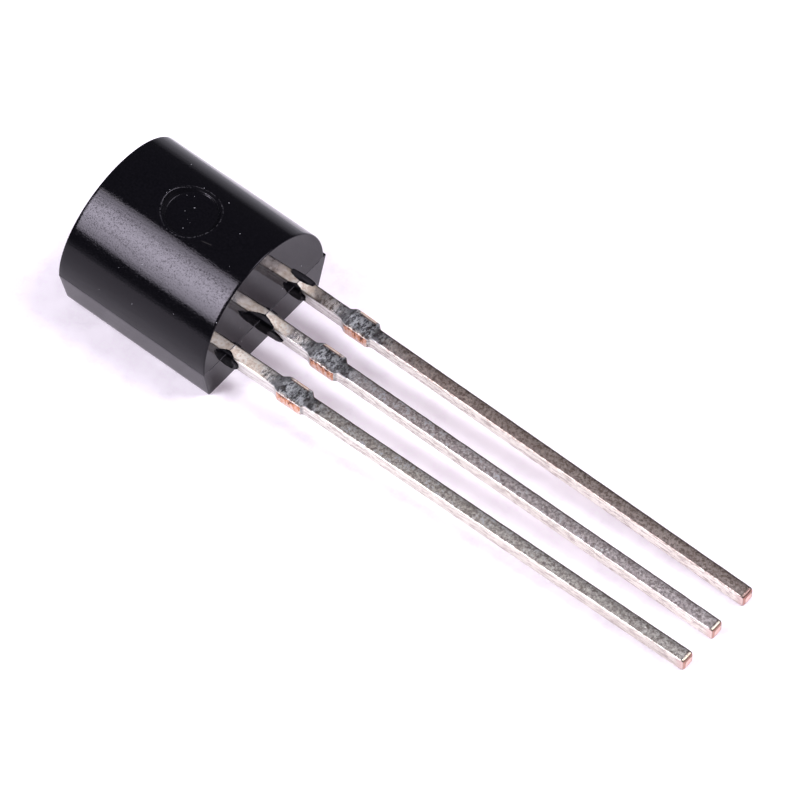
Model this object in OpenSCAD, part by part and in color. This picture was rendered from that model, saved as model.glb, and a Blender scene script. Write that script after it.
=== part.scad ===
// A transistor in a TO-92 outline, lying on its flat side with its leads along +X.
// Millimetres. The origin is the centre of the flat face, with +Z towards the round side.
// The case was moulded round a stamped lead frame, so every inner piece fills its own
// cavity in the resin exactly.

/* [Case] */
// Length of the case along the leads, at the parting line
case_length = 4.56; // [4.30:0.02:4.70]
// Width of the flat-side half at the parting line
case_width = 4.58; // [4.50:0.02:4.70]
// Radius of the round side
round_radius = 2.24; // [2.15:0.01:2.24]
// Height of the straight wall between the parting line and the round side
land_height = 0.06; // [0.02:0.01:0.15]
// Height of the parting line above the flat face
parting_height = 1.14; // [1.05:0.01:1.30]
// Width of the flat face
flat_width = 4.12; // [3.60:0.02:4.30]
// Draft of the two end faces, in degrees
draft_angle = 2; // [1:0.5:4]
// Sideways mismatch of the two mould halves
mould_mismatch = 0.05; // [0:0.01:0.05]
// Height of the bevel round the flat face
flat_bevel = 0.06; // [0.02:0.01:0.10]

/* [Ejector mark] */
// Radius of the mark's rim on the round side
mark_radius = 0.75; // [0.60:0.01:0.80]
// Radius of the mark's flat floor
mark_floor_radius = 0.62; // [0.50:0.01:0.70]
// Depth of the floor below the top of the round side
mark_depth = 0.16; // [0.10:0.01:0.25]

/* [Leads] */
// Distance between neighbouring leads
lead_pitch = 1.27; // [1.25:0.01:1.29]
// Width of a lead
lead_width = 0.38; // [0.36:0.01:0.50]
// Thickness of the lead frame's strip
strip_thickness = 0.38; // [0.33:0.01:0.42]
// Length of a lead from the case to its tip
lead_length = 13.7; // [12.7:0.1:14.5]
// Distance from the case to the dam bar's remains
dam_distance = 1.40; // [1.20:0.05:1.80]
// Width of the dam bar that was sheared away between the leads
dam_width = 1.00; // [0.60:0.05:1.20]
// How far the dam bar's sheared remains stand out from a lead's side
dam_stub = 0.08; // [0.04:0.01:0.12]
// Bevel on the upper and lower edges of a lead's tip
tip_bevel = 0.09; // [0.03:0.01:0.12]
// How much of a tip's two side edges is cut off
tip_corner = 0.08; // [0.02:0.01:0.12]
// Sideways lean of the tips of the base, collector and emitter leads
tip_lean = [0.19, 0.02, -0.08]; // [-0.3:0.01:0.3]

/* [Resin flash] */
// Length of the longest flash along the lower part of a lead's side
flash_length = 0.68; // [0.40:0.02:0.90]
// Length of the longest flash that creeps over a lead's upper edge
flash_creep = 0.42; // [0.20:0.02:0.60]
// How far the widest flash covers a lead's upper face
flash_cover = 0.19; // [0.05:0.01:0.19]
// How far the flash stands out from a lead's side
flash_out = 0.08; // [0.06:0.01:0.16]

/* [Die and wires] */
// Side of the square silicon die
die_side = 0.46; // [0.30:0.02:0.60]
// Thickness of the die
die_thickness = 0.20; // [0.15:0.01:0.25]
// Thickness of the solder under the die
attach_thickness = 0.03; // [0.02:0.01:0.05]
// Diameter of a bond wire
wire_diameter = 0.05; // [0.03:0.01:0.06]
// Height of a bond wire's loop above the die
loop_height = 0.30; // [0.20:0.02:0.40]

/* [Hidden] */
$fn = 96;

// Case
exit_x = case_length / 2;
round_centre = parting_height + land_height;
case_top = round_centre + round_radius;
low_inset = parting_height * tan(draft_angle);
high_inset = (case_top - parting_height) * tan(draft_angle);
side_slope = (case_width - flat_width) / 2 / parting_height;
overlap = 0.2;

// Lead frame: the parting line runs along the upper face of the strip
strip_top = parting_height;
strip_bottom = strip_top - strip_thickness;
tip_x = exit_x + lead_length;
stub_ramp = 0.20;
BASE = 0;
COLLECTOR = 1;
EMITTER = 2;
paddle_length = 1.60;
paddle_width = 1.60;
paddle_end_x = -1.25;
lead_root_x = 0;
neck_width = 0.60;
neck_end_x = 1.20;
post_pad_length = 0.95;
post_pad_width = 0.80;
post_end_x = -0.55;
post_centre_y = 1.40;
anchor_hole_x = 0.80;
anchor_hole_radius = 0.16;

// Resin flash
flash_step = 0.12;
flash_skin = 0.02;

// Die and wires
die_x = paddle_end_x + paddle_length / 2;
die_top = strip_top + attach_thickness + die_thickness;
attach_rim = 0.03;
bond_spread = 0.11;
ball_diameter = 0.12;
ball_height = 0.04;
stitch_length = 0.16;
stitch_width = 0.10;
stitch_height = 0.02;
stitch_x = -0.05;
stitch_y = 1.28;
wire_sides = 8;
wire_steps = 14;

// Turns a shape drawn in X and Z into a bar of the given width along Y
module across_y(width) {
    rotate([90, 0, 0]) linear_extrude(width, center = true) children();
}

// Turns a shape drawn in Y and Z into a bar of the given length along X
module along_x(length) {
    rotate([90, 0, 90]) linear_extrude(length, center = true) children();
}

// ---- Case ----

// Flat-side half in Y and Z, with the bevel that runs along the flat face
module flat_half_profile() {
    half_flat = flat_width / 2;
    bevel_y = half_flat + flat_bevel * side_slope;
    polygon([
        [-case_width / 2, parting_height], [case_width / 2, parting_height],
        [bevel_y, flat_bevel], [half_flat - flat_bevel, 0],
        [-half_flat + flat_bevel, 0], [-bevel_y, flat_bevel]
    ]);
}

// Round half in Y and Z: a half circle on a short straight wall
module round_half_profile() {
    translate([-mould_mismatch, parting_height]) {
        translate([-round_radius, 0]) square([2 * round_radius, land_height]);
        intersection() {
            translate([0, land_height]) circle(round_radius);
            translate([-case_width, land_height / 2]) square([2 * case_width, case_width]);
        }
    }
}

// Side view of the case in X and Z: both end faces lean in from the parting line
module drafted_side_profile() {
    low_x = exit_x - low_inset;
    high_x = exit_x - high_inset;
    bevel_x = low_x + flat_bevel * tan(draft_angle);
    polygon([
        [-low_x + flat_bevel, 0], [low_x - flat_bevel, 0], [bevel_x, flat_bevel],
        [exit_x, parting_height], [high_x, case_top], [-high_x, case_top],
        [-exit_x, parting_height], [-bevel_x, flat_bevel]
    ]);
}

module case_shell() {
    intersection() {
        along_x(case_length + overlap) {
            flat_half_profile();
            round_half_profile();
        }
        across_y(case_width + overlap) drafted_side_profile();
    }
}

// Recess that the ejector pin left: a flat floor inside a conical wall
module ejector_mark() {
    wall_slope = (mark_radius - mark_floor_radius) / mark_depth;
    translate([0, 0, case_top - mark_depth])
        cylinder(h = mark_depth + overlap, r1 = mark_floor_radius,
                 r2 = mark_floor_radius + (mark_depth + overlap) * wall_slope);
}

// Plan of a tongue of resin that leaves the case along a lead's side and ends in a nose
module tongue_plan(length) {
    side = lead_width / 2;
    nose = flash_out / 2;
    translate([exit_x - overlap, side]) square([overlap + length - nose, flash_out]);
    translate([exit_x + length - nose, side + nose]) circle(nose);
}

// Plan of the resin that crept over a lead's upper edge, narrowing away from the case
module creep_plan(length, cover) {
    side = lead_width / 2;
    polygon([
        [exit_x - overlap, side - cover], [exit_x, side - cover],
        [exit_x + length * 0.4, side - cover * 0.75], [exit_x + length * 0.8, side - cover * 0.3],
        [exit_x + length, side], [exit_x + length * 0.9, side + flash_out * 0.7],
        [exit_x + length * 0.6, side + flash_out], [exit_x - overlap, side + flash_out]
    ]);
}

// Resin that bled along one side of a lead; share scales its length, its creep and its cover
module side_flash(share) {
    translate([0, 0, strip_bottom]) linear_extrude(strip_thickness - flash_step)
        tongue_plan(flash_length * share[0]);
    translate([0, 0, strip_bottom]) linear_extrude(strip_thickness + flash_skin)
        creep_plan(flash_creep * share[1], flash_cover * share[2]);
}

// Flash on both sides of one lead
module lead_flash(lane, low_share, high_share) {
    translate([0, lane_y(lane), 0]) {
        mirror([0, 1, 0]) side_flash(low_share);
        side_flash(high_share);
    }
}

module case() {
    color([0.07, 0.07, 0.08]) difference() {
        union() {
            case_shell();
            lead_flash(BASE, [0.55, 0.6, 0.7], [0.3, 0.3, 0.2]);
            lead_flash(COLLECTOR, [1, 1, 1], [0.36, 0.3, 0.2]);
            lead_flash(EMITTER, [0.52, 0.55, 0.55], [0.6, 0.95, 1]);
        }
        ejector_mark();
        outer_lead_solid(EMITTER, 1);
        outer_lead_solid(BASE, -1);
        collector_lead_solid();
        die_attach_solid();
        die_solid();
        bond_wire_solid(1);
        bond_wire_solid(-1);
    }
}

// ---- Lead frame ----

// Distance of a lane's middle line from the case's middle plane
function lane_y(lane) = (lane - COLLECTOR) * lead_pitch;

// Middle line of a lead at x, leaning evenly from the case to the tip
function lean_y(lane, x) = lane_y(lane) + tip_lean[lane] * max(0, x - exit_x) / lead_length;

// Plan of a lead from its root in the case to its tip, with the dam bar's sheared remains
module lead_plan(lane) {
    half = lead_width / 2;
    stub_x = exit_x + dam_distance;
    stub_end_x = stub_x + dam_width;
    steps = [
        [lead_root_x, half], [exit_x, half],
        [stub_x, half], [stub_x + stub_ramp, half + dam_stub],
        [stub_end_x - stub_ramp, half + dam_stub], [stub_end_x, half],
        [tip_x - tip_corner, half], [tip_x, half - tip_corner]
    ];
    last = len(steps) - 1;
    polygon([
        for (i = [0:last]) [steps[i][0], lean_y(lane, steps[i][0]) + steps[i][1]],
        for (i = [last:-1:0]) [steps[i][0], lean_y(lane, steps[i][0]) - steps[i][1]]
    ]);
}

// Rectangle of the strip, given by its start, its length and its middle line in Y
module strip_bar(start_x, length, middle_y, width) {
    translate([start_x, middle_y - width / 2, strip_bottom])
        cube([length, width, strip_thickness]);
}

// A lead, widened inside the case into a neck, with its tip bevelled above and below
module lead_bar(lane) {
    difference() {
        translate([0, 0, strip_bottom]) linear_extrude(strip_thickness) lead_plan(lane);
        for (z = [strip_bottom, strip_top])
            translate([tip_x, lean_y(lane, tip_x), z]) rotate([0, 45, 0])
                cube([tip_bevel * sqrt(2), 2 * lead_width, tip_bevel * sqrt(2)], center = true);
    }
    strip_bar(lead_root_x, neck_end_x - lead_root_x, lane_y(lane), neck_width);
}

// Emitter or base lead: it ends in a post for the bond wire, and resin fills its anchor hole
module outer_lead_solid(lane, side) {
    difference() {
        union() {
            lead_bar(lane);
            strip_bar(post_end_x, post_pad_length, side * post_centre_y, post_pad_width);
        }
        translate([anchor_hole_x, lane_y(lane), strip_bottom - overlap])
            cylinder(h = strip_thickness + 2 * overlap, r = anchor_hole_radius);
    }
}

// Collector lead: it ends in the paddle that carries the die
module collector_lead_solid() {
    lead_bar(COLLECTOR);
    strip_bar(paddle_end_x, paddle_length, 0, paddle_width);
}

module emitter_lead() {
    color([0.72, 0.70, 0.67]) outer_lead_solid(EMITTER, 1);
}

module collector_lead() {
    color([0.72, 0.70, 0.67]) collector_lead_solid();
}

module base_lead() {
    color([0.72, 0.70, 0.67]) outer_lead_solid(BASE, -1);
}

// ---- Die and its bonds ----

module square_plate(side, thickness) {
    translate([-side / 2, -side / 2, 0]) cube([side, side, thickness]);
}

module die_attach_solid() {
    translate([die_x, 0, strip_top])
        square_plate(die_side + 2 * attach_rim, attach_thickness);
}

module die_solid() {
    translate([die_x, 0, strip_top + attach_thickness])
        square_plate(die_side, die_thickness);
}

module die_attach() {
    color([0.62, 0.63, 0.66]) die_attach_solid();
}

module die() {
    color([0.32, 0.34, 0.42]) die_solid();
}

// Point and direction of a cubic curve through four control points
function curve_point(c, t) = pow(1 - t, 3) * c[0] + 3 * t * pow(1 - t, 2) * c[1]
    + 3 * t * t * (1 - t) * c[2] + pow(t, 3) * c[3];
function curve_direction(c, t) = pow(1 - t, 2) * (c[1] - c[0])
    + 2 * t * (1 - t) * (c[2] - c[1]) + t * t * (c[3] - c[2]);

// Round wire swept along a cubic curve that lies in an upright plane
module wire_sweep(controls) {
    span = controls[3] - controls[0];
    level = [span[0], span[1], 0] / norm([span[0], span[1]]);
    across = cross([0, 0, 1], level);
    ring_points = [
        for (i = [0:wire_steps], k = [0:wire_sides - 1])
            let (t = i / wire_steps, angle = 360 * (k + 0.5) / wire_sides,
                 direction = curve_direction(controls, t),
                 normal = cross(direction, across) / norm(direction))
            curve_point(controls, t)
                + wire_diameter / 2 * (cos(angle) * normal + sin(angle) * across)
    ];
    last = wire_steps * wire_sides;
    polyhedron(ring_points, [
        [for (k = [0:wire_sides - 1]) k],
        [for (k = [wire_sides - 1:-1:0]) last + k],
        for (i = [0:wire_steps - 1], k = [0:wire_sides - 1])
            let (a = i * wire_sides, next = (k + 1) % wire_sides)
            each [[a + k, a + wire_sides + k, a + next],
                  [a + next, a + wire_sides + k, a + wire_sides + next]]
    ]);
}

// Wire from a ball bond on the die to a stitch bond on the post at side * Y
module bond_wire_solid(side) {
    ball = [die_x + bond_spread * side, bond_spread * side, die_top];
    stitch = [stitch_x, side * stitch_y, strip_top];
    heading = atan2(stitch[1] - ball[1], stitch[0] - ball[0]);
    sunk = wire_diameter / 2;
    translate(ball) cylinder(d = ball_diameter, h = ball_height, $fn = 24);
    translate(stitch) rotate([0, 0, heading]) translate([-stitch_length / 2, -stitch_width / 2, 0])
        cube([stitch_length, stitch_width, stitch_height + sunk]);
    wire_sweep([
        ball + [0, 0, ball_height / 2],
        ball + [0, 0, ball_height + loop_height * 1.6],
        (ball + 2 * stitch) / 3 + [0, 0, loop_height * 1.5],
        stitch + [0, 0, sunk + stitch_height / 2]
    ]);
}

module emitter_wire() {
    color([0.85, 0.66, 0.30]) bond_wire_solid(1);
}

module base_wire() {
    color([0.85, 0.66, 0.30]) bond_wire_solid(-1);
}

case();
emitter_lead();
collector_lead();
base_lead();
die();
die_attach();
emitter_wire();
base_wire();
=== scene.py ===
"""A TO-92 transistor lying on a white studio table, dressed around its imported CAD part.

Shapes are worked out in millimetres, in the frame of the CAD part: the leads point along +X,
the round side of the case faces +Z. Meshes are scaled to metres as they are made.
"""

from math import atan, ceil, cos, hypot, pi, radians, sin, sqrt, tan, tau
from random import Random

import bmesh
import bpy
import numpy as np
from mathutils import Matrix, Quaternion, Vector
from mathutils.geometry import delaunay_2d_cdt


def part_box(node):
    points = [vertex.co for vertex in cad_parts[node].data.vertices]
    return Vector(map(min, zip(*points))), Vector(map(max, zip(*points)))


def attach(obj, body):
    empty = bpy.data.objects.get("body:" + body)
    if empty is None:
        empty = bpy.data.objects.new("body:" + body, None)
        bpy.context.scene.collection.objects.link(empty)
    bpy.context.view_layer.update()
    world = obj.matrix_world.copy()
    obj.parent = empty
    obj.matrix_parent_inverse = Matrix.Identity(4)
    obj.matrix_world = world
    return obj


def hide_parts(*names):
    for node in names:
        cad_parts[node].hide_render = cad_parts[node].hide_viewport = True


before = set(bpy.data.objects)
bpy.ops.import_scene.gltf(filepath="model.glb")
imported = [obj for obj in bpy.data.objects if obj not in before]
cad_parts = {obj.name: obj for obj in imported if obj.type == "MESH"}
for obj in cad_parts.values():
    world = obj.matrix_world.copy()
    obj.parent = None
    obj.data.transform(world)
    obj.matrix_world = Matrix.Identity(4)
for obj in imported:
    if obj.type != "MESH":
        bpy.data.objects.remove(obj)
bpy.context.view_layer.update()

MM = 0.001
SMOOTH_ANGLE = radians(32)  # edges sharper than this stay sharp


# ---- Measures in millimetres ----

def node_box(node):
    """Lowest and highest corner of a CAD node, in millimetres."""
    return [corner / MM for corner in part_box(node)]


case_low, case_high = node_box("case")
lead_low, lead_high = node_box("collector_lead")

# Case
END_X = -case_low.x  # from the middle to an end face, at the parting line
HALF_WIDTH = case_high.y
TOP_Z = case_high.z
PARTING_Z = lead_high.z  # the parting line lies along the upper face of the leads
FLAT_HALF_WIDTH = 2.06
DRAFT = radians(2)
ROUND_RADIUS = 2.235
LAND_HEIGHT = TOP_Z - PARTING_Z - ROUND_RADIUS
ROUND_SHIFT = -0.05  # the round half was moulded this far to the side
FLAT_EDGE_ROUND = 0.05  # along the flat face
RIM_ROUND = 0.03  # round both end faces
STEP_ROUNDS = {1: 0.03, -1: 0.004}  # on the parting step, by side

# Ejector mark
MARK_RADIUS = 0.75
MARK_FLOOR_RADIUS = 0.62
MARK_DEPTH = 0.16
MARK_SOFTNESS = 0.0005

# Leads
BASE, COLLECTOR, EMITTER = -1, 0, 1
LEAD_NODES = {BASE: "base_lead", COLLECTOR: "collector_lead", EMITTER: "emitter_lead"}
LEAD_PITCH = 1.27
LEAD_HALF_WIDTH = 0.19
STRIP_BOTTOM = lead_low.z
TIP_X = lead_high.x
LEAD_LENGTH = TIP_X - END_X
TIP_LEAN = {BASE: 0.19, COLLECTOR: 0.02, EMITTER: -0.08}
DAM_START = END_X + 1.42
DAM_END = END_X + 2.40
DAM_RAMPS = (0.22, 0.16)  # towards the case, towards the tip
DAM_STUB = 0.08


# ---- Small tools ----

def direction(azimuth, elevation):
    """Unit vector towards an azimuth, counted from +X towards +Y, and an elevation."""
    return Vector((cos(elevation) * cos(azimuth), cos(elevation) * sin(azimuth),
                   sin(elevation)))


def smooth_step(start, end, value):
    """0 up to start, 1 from end on, and an even S between them."""
    share = min(max((value - start) / (end - start), 0), 1)
    return share * share * (3 - 2 * share)


def soft_min(a, b, softness):
    """The lower of two values, rounded where they are closer than the softness."""
    near = max(softness - abs(a - b), 0) / softness
    return min(a, b) - near * near * softness / 4


def divide(start, end, count):
    """Points from start up to, but not at, end, in this many equal steps."""
    return [(start[0] + (end[0] - start[0]) * i / count,
             start[1] + (end[1] - start[1]) * i / count) for i in range(count)]


def line(start, end, step):
    """Points from start up to, but not at, end, no further apart than step."""
    length = hypot(end[0] - start[0], end[1] - start[1])
    return divide(start, end, max(1, ceil(length / step)))


def arc(centre, radius, start, end, count):
    """count + 1 points of an arc, both ends included."""
    return [(centre[0] + radius * cos(start + (end - start) * i / count),
             centre[1] + radius * sin(start + (end - start) * i / count))
            for i in range(count + 1)]


WAVE_COUNT = 997  # turning points before a wave repeats
WAVE_START = 300  # the turning point at 0


def waves(seed, spacing):
    """A smooth random function of one number, from -1 to 1, that turns every spacing or so."""
    draw = Random(seed)
    values = [draw.uniform(-1, 1) for _ in range(WAVE_COUNT)]

    def at(x):
        place = x / spacing + WAVE_START
        index = int(place)
        share = smooth_step(0, 1, place - index)
        return (values[index % WAVE_COUNT] * (1 - share)
                + values[(index + 1) % WAVE_COUNT] * share)
    return at


def add_object(name, data):
    made = bpy.data.objects.new(name, data)
    bpy.context.scene.collection.objects.link(made)
    return made


def new_mesh_object(name, points, faces):
    """Object whose mesh has these points, given in millimetres."""
    mesh = bpy.data.meshes.new(name)
    mesh.from_pydata([Vector(p) * MM for p in points], [], faces)
    mesh.validate()
    return add_object(name, mesh)


def between(ring, after):
    """Faces from a ring of point numbers to the one after it."""
    count = len(ring)
    return [[ring[k], after[k], after[(k + 1) % count], ring[(k + 1) % count]]
            for k in range(count)]


def wrap_rings(rings):
    """Points of the rings, all with as many, and the faces between each one and the next."""
    count = len(rings[0])
    points = [point for ring in rings for point in ring]
    faces = []
    for start in range(count, len(points), count):
        faces += between(range(start - count, start), range(start, start + count))
    return points, faces


def closed_object(name, rings):
    """Solid object through the rings, closed by a flat face at either end."""
    count = len(rings[0])
    points, faces = wrap_rings(rings)
    faces.append(list(range(len(points) - count, len(points))))
    faces.append(list(range(count))[::-1])
    return new_mesh_object(name, points, faces)


def set_materials(made, *materials):
    made.data.materials.clear()
    for material in materials:
        made.data.materials.append(material)


def shade_smooth(made):
    made.data.shade_smooth()
    made.data.set_sharp_from_angle(angle=SMOOTH_ANGLE)


SLIVER = 1e-4  # shortest edge that is kept


def drop_slivers(made, turn_out=False):
    """Takes out faces without area; turns every face outwards if asked."""
    work = bmesh.new()
    work.from_mesh(made.data)
    bmesh.ops.dissolve_degenerate(work, dist=SLIVER * MM, edges=work.edges[:])
    if turn_out:
        bmesh.ops.recalc_face_normals(work, faces=work.faces)
    work.to_mesh(made.data)
    work.free()


def combine(made, others, operation, keep=False):
    """Replaces an object's mesh by its union with, or difference from, other closed objects."""
    for other in others:
        modifier = made.modifiers.new("combine", "BOOLEAN")
        modifier.operation = operation
        modifier.solver = "MANIFOLD"
        modifier.object = other
        graph = bpy.context.evaluated_depsgraph_get()
        graph.update()
        result = bpy.data.meshes.new_from_object(made.evaluated_get(graph))
        made.modifiers.clear()
        old = made.data
        made.data = result
        bpy.data.meshes.remove(old)
        if not keep:
            bpy.data.objects.remove(other)


# ---- Case ----

OUTLINE_STEP = 0.15
FLAT_ARC_STEPS = 4  # along the flat face's rounded edges
STEP_ARC_STEPS = 6  # along the parting step's
CROWN_STEPS = 120
RIM_STEPS = 4
END_ROW = 0.15  # from the end faces to the next row of points
SAME_PLACE = 1e-6  # points of an outline closer than this are level or in line
PLAN_TOLERANCE = 1e-7  # and closer than this they are one point of a filled plan


def end_x(z):
    """Where an end face stands at a height: both halves draft in from the parting line."""
    return END_X - abs(z - PARTING_Z) * tan(DRAFT)


def flat_half_side(side, inset):
    """Half of the flat-side half's outline, from the middle of the flat face to the land."""
    slope = atan((HALF_WIDTH - FLAT_HALF_WIDTH) / PARTING_Z)
    land_y = ROUND_RADIUS + side * ROUND_SHIFT - inset

    def round_centre(height, radius, inset):
        return (FLAT_HALF_WIDTH + (height * sin(slope) - radius - inset) / cos(slope), height)

    low = round_centre(FLAT_EDGE_ROUND, FLAT_EDGE_ROUND, 0)
    step_round = STEP_ROUNDS[side]
    high = round_centre(PARTING_Z - step_round, step_round, inset)
    points = arc(low, FLAT_EDGE_ROUND - inset, -pi / 2, -slope, FLAT_ARC_STEPS)
    points = line((0, inset), points[0], OUTLINE_STEP) + points[:-1] + \
        line(points[-1], arc(high, step_round, -slope, 0, 1)[0], OUTLINE_STEP)
    points += arc(high, step_round, -slope, pi / 2, STEP_ARC_STEPS)
    points += [(land_y, PARTING_Z)]
    return [(side * y, z) for y, z in points]


def case_outline(inset):
    """The case's outline in Y and Z, from the middle of the flat face round by +Y."""
    right = flat_half_side(1, inset)
    left = flat_half_side(-1, inset)
    crown = arc((ROUND_SHIFT, PARTING_Z + LAND_HEIGHT), ROUND_RADIUS - inset, 0, pi, CROWN_STEPS)
    return right + crown + left[:0:-1]


def mark_depth(x, y, z):
    """Height of the round side at x and y, with the ejector mark sunk into it."""
    reach = hypot(x, y)
    wall = (MARK_DEPTH / (MARK_RADIUS - MARK_FLOOR_RADIUS)) * (reach - MARK_FLOOR_RADIUS)
    sunk = TOP_Z - MARK_DEPTH - soft_min(0, -wall, MARK_SOFTNESS)
    return soft_min(z, sunk, MARK_SOFTNESS)


MARK_WINDOW = 1.0
MARK_RINGS = [0.15, 0.30, 0.45, 0.55, 0.58, 0.60, 0.61, 0.62, 0.63, 0.64, 0.66, 0.68, 0.70, 0.71,
              0.72, 0.73, 0.74, 0.75, 0.76, 0.77, 0.78, 0.80, 0.83, 0.88]
MARK_STEPS = 120


def mark_patch(points, first_row, last_row):
    """Fills the window round the ejector mark with rings of triangles; adds to points."""
    border = first_row + last_row[::-1]
    plan = [Vector(points[i][:2]) for i in border]
    plan += [Vector((0, 0))]
    for radius in MARK_RINGS:
        plan += [Vector(p) for p in arc((0, 0), radius, 0, tau, MARK_STEPS)[:-1]]
    loop = list(range(len(border)))
    result = delaunay_2d_cdt(plan, [], [loop], 1, PLAN_TOLERANCE)
    corner = []
    for place, origin in zip(result[0], result[3]):
        if origin and origin[0] < len(border):
            corner.append(border[origin[0]])
            continue
        x, y = place
        rise = sqrt(ROUND_RADIUS ** 2 - (y - ROUND_SHIFT) ** 2)
        corner.append(len(points))
        points.append((x, y, mark_depth(x, y, PARTING_Z + LAND_HEIGHT + rise)))
    return [[corner[i] for i in face] for face in result[2]]


def end_cap(points, ring, side):
    """Flat faces that close one end, split along the parting line."""
    plan = [Vector(points[i][1:]) for i in ring]
    seam = [k for k, p in enumerate(plan) if abs(p[1] - PARTING_Z) < SAME_PLACE
            and abs(abs(p[0] - ROUND_SHIFT) - (ROUND_RADIUS - RIM_ROUND)) < SAME_PLACE]
    result = delaunay_2d_cdt(plan, [tuple(seam)], [list(range(len(plan)))], 1, PLAN_TOLERANCE)
    corner = [ring[origin[0]] for origin in result[3]]
    return [[corner[i] for i in (face if side > 0 else reversed(face))] for face in result[2]]


def build_case_shell():
    """Closed outer shell of the case, with rounded rims and the ejector mark."""
    turns = [pi / 2 * i / RIM_STEPS for i in range(RIM_STEPS + 1)]
    rows = [(side, RIM_ROUND * (1 - cos(turn)), RIM_ROUND * (1 - sin(turn)))
            for side in (-1, 1) for turn in turns[::side]]
    points = []
    grid = []

    def add_row(outline, place_x):
        grid.append(list(range(len(points), len(points) + len(outline))))
        points.extend((place_x(z), y, z) for y, z in outline)

    for side, inset, back in rows:
        if len(grid) == len(turns):
            for x in (-END_X + END_ROW, -MARK_WINDOW, MARK_WINDOW, END_X - END_ROW):
                add_row(case_outline(0), lambda z: x)
        add_row(case_outline(inset), lambda z: side * (end_x(z) - back))

    outline = case_outline(0)
    window = [k for k, (y, z) in enumerate(outline)
              if z > PARTING_Z + ROUND_RADIUS / 2 and abs(y) < MARK_WINDOW]
    first, last = window[0], window[-1]
    faces = []
    for upper, lower in zip(grid, grid[1:]):
        ring = between(upper, lower)
        if points[upper[first]][0] == -MARK_WINDOW:
            del ring[first:last]
            ring += mark_patch(points, upper[first:last + 1], lower[first:last + 1])
        faces += ring
    faces += end_cap(points, grid[-1], 1)
    faces += end_cap(points, grid[0], -1)
    shell = new_mesh_object("moulded_case", points, faces)
    drop_slivers(shell, turn_out=True)
    return shell


# ---- Leads ----

# Corners of a lead's section, anticlockwise seen from the tip: side, top or bottom, radius
SECTION_CORNERS = [(1, 1, 0.05), (-1, 1, 0.035), (-1, -1, 0.02), (1, -1, 0.02)]
CORNER_STEPS = 4
FLAT_STEPS = 6  # along each flat face; its last two are taken as one
STATION_STEP = 0.05
DAM_STATION_STEP = 0.025
TIP_STEPS = 7
LEAD_START = END_X - 0.15  # where the detailed bar starts, inside the case
CAD_LEAD_END = END_X - 0.1  # where the CAD lead's inner part is cut off, inside the bar
TIP_BEVELS = (0.10, 0.09)  # on its upper and its lower edge
TIP_CORNER = 0.08  # on its side edges
# The dam bar's remains end in a burr on the +Y side: in Y and Z from its upper edge.
DAM_BURR = [(0.03, -0.06), (0.025, -0.02), (0.0, 0.014), (-0.01, 0.015), (-0.035, 0.0)]
DAM_SHARPER = 0.5  # how much smaller its upper edges' radius is
BARE_OUT = (0.6 * DAM_STUB, 0.9 * DAM_STUB)  # the copper there is bare from this far out
BARE_UNDER = (0.04, 0.01)  # and from this far under the upper face
EDGE_WEAR = 0.0035
RADIUS_WEAR = 0.12  # as a share of the edge's radius
WEAR_SPACING = 0.12
WEAR_SEED = 40


def lean_y(lane, x):
    """Middle line of a lead, which leans evenly from the case to the tip."""
    return lane * LEAD_PITCH + TIP_LEAN[lane] * max(0, x - END_X) / LEAD_LENGTH


def dam_share(x):
    """0 along a lead, 1 where the sheared dam bar's remains stand out in full."""
    rise = smooth_step(DAM_START, DAM_START + DAM_RAMPS[0], x)
    return rise - smooth_step(DAM_END - DAM_RAMPS[1], DAM_END, x)


def round_off(distance, radius):
    """How far a rounded edge lies under its face, at a distance from the edge."""
    if distance >= radius:
        return 0
    return radius - sqrt(max(radius ** 2 - (radius - distance) ** 2, 0))


def lead_section(lane, x, wear):
    """Section of a lead in Y and Z, and how bare of tin each of its points is."""
    middle = lean_y(lane, x)
    to_tip = TIP_X - x
    stub = dam_share(x)
    edge_in = round_off(to_tip, TIP_CORNER)
    top = PARTING_Z - round_off(to_tip, TIP_BEVELS[0])
    bottom = STRIP_BOTTOM + round_off(to_tip, TIP_BEVELS[1])
    corners = []
    for index, (side, level, radius) in enumerate(SECTION_CORNERS):
        half = LEAD_HALF_WIDTH + DAM_STUB * stub - edge_in + EDGE_WEAR * (wear[index](x) - 1) / 2
        radius *= 1 + RADIUS_WEAR * wear[index + len(SECTION_CORNERS)](x)
        if level > 0:
            radius *= 1 - DAM_SHARPER * stub
        centre = (middle + side * (half - radius),
                  top - radius if level > 0 else bottom + radius)
        start = index * pi / 2
        corner = arc(centre, radius, start, start + pi / 2, CORNER_STEPS)
        if side > 0 and level > 0:
            corner = [(y + stub * (middle + half + out - y), z + stub * (top + up - z))
                      for (y, z), (out, up) in zip(corner, DAM_BURR)]
        corners.append(corner)
    section = []
    for corner, after in zip(corners, corners[1:] + corners[:1]):
        section += corner + divide(corner[-1], after[0], FLAT_STEPS)[1:-1]
    bare = [smooth_step(*BARE_OUT, abs(y - middle) - LEAD_HALF_WIDTH)
            * (1 - smooth_step(top - BARE_UNDER[0], top - BARE_UNDER[1], z))
            for y, z in section]
    return section, bare


def lead_stations():
    """Where a lead's sections are taken, closer together at the dam bar and the tip."""
    stations = []
    for first, last, step in [
            (LEAD_START, DAM_START, STATION_STEP), (DAM_START, DAM_END, DAM_STATION_STEP),
            (DAM_END, TIP_X - TIP_BEVELS[0], STATION_STEP)]:
        stations += [x for x, _ in line((first, 0), (last, 0), step)]
    turns = [pi / 2 * i / TIP_STEPS for i in range(TIP_STEPS + 1)]
    return stations + [TIP_X - TIP_BEVELS[0] * (1 - sin(turn)) for turn in turns]


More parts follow.
